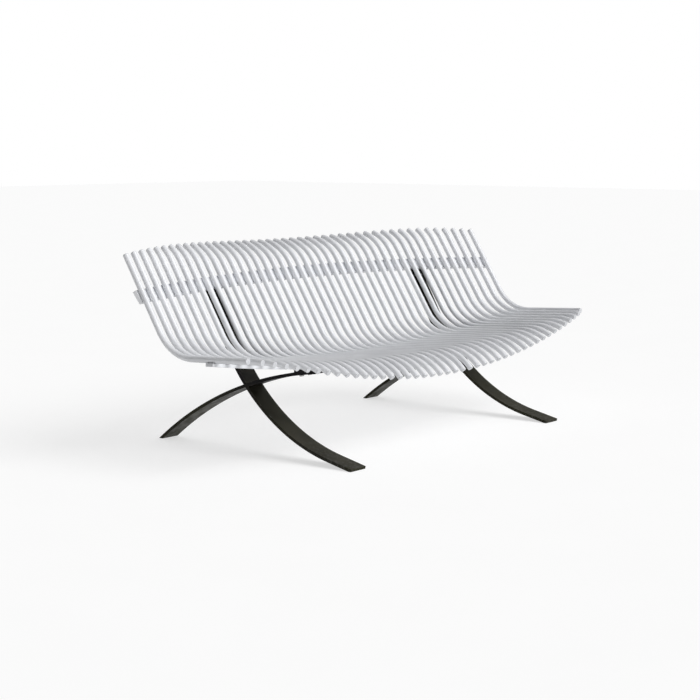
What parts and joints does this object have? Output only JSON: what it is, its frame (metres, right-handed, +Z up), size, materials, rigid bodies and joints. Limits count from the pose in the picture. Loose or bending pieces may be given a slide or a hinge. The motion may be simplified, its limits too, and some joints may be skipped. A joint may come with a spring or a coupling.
{
  "type": "garden bench",
  "caption": "Garden bench: bent round tubes side by side form the seat and the reclined back, on two bowed flat rails and two pairs of crossed, curved flat-bar legs.",
  "frame": {"origin": "on the floor, under the middle of the whole bench's bounding box", "axes": "+X along the bench, to the right of someone standing behind it; the sitter faces -Y; +Z up"},
  "size_m": [2.1034, 0.9771, 0.7645],
  "materials": {
    "rib_paint": "white satin powder coat",
    "rail_paint": "white satin powder coat",
    "leg_paint": "near-black satin powder coat",
    "end_plugs": "light grey plastic",
    "bolts": "stainless steel"
  },
  "bodies": {
    "root": {"rib_01": "rib_paint", "rib_02": "rib_paint", "rib_03": "rib_paint", "rib_04": "rib_paint", "rib_05": "rib_paint", "rib_06": "rib_paint", "rib_07": "rib_paint", "rib_08": "rib_paint", "rib_09": "rib_paint", "rib_10": "rib_paint", "rib_11": "rib_paint", "rib_12": "rib_paint", "rib_13": "rib_paint", "rib_14": "rib_paint", "rib_15": "rib_paint", "rib_16": "rib_paint", "rib_17": "rib_paint", "rib_18": "rib_paint", "rib_19": "rib_paint", "rib_20": "rib_paint", "rib_21": "rib_paint", "rib_22": "rib_paint", "rib_23": "rib_paint", "rib_24": "rib_paint", "rib_25": "rib_paint", "rib_26": "rib_paint", "rib_27": "rib_paint", "rib_28": "rib_paint", "rib_29": "rib_paint", "rib_30": "rib_paint", "rib_31": "rib_paint", "rib_32": "rib_paint", "rib_33": "rib_paint", "rib_34": "rib_paint", "rib_35": "rib_paint", "rib_36": "rib_paint", "rib_37": "rib_paint", "rib_38": "rib_paint", "rib_39": "rib_paint", "rib_40": "rib_paint", "rib_41": "rib_paint", "rib_42": "rib_paint", "rib_43": "rib_paint", "rib_44": "rib_paint", "rib_end_plugs": "end_plugs", "back_rail": "rail_paint", "seat_rail": "rail_paint", "left_main_leg": "leg_paint", "left_rear_leg": "leg_paint", "left_seat_strut": "leg_paint", "right_main_leg": "leg_paint", "right_rear_leg": "leg_paint", "right_seat_strut": "leg_paint", "back_brackets": "leg_paint", "seat_packers": "leg_paint", "leg_bolts": "bolts"}
  },
  "joints": []
}
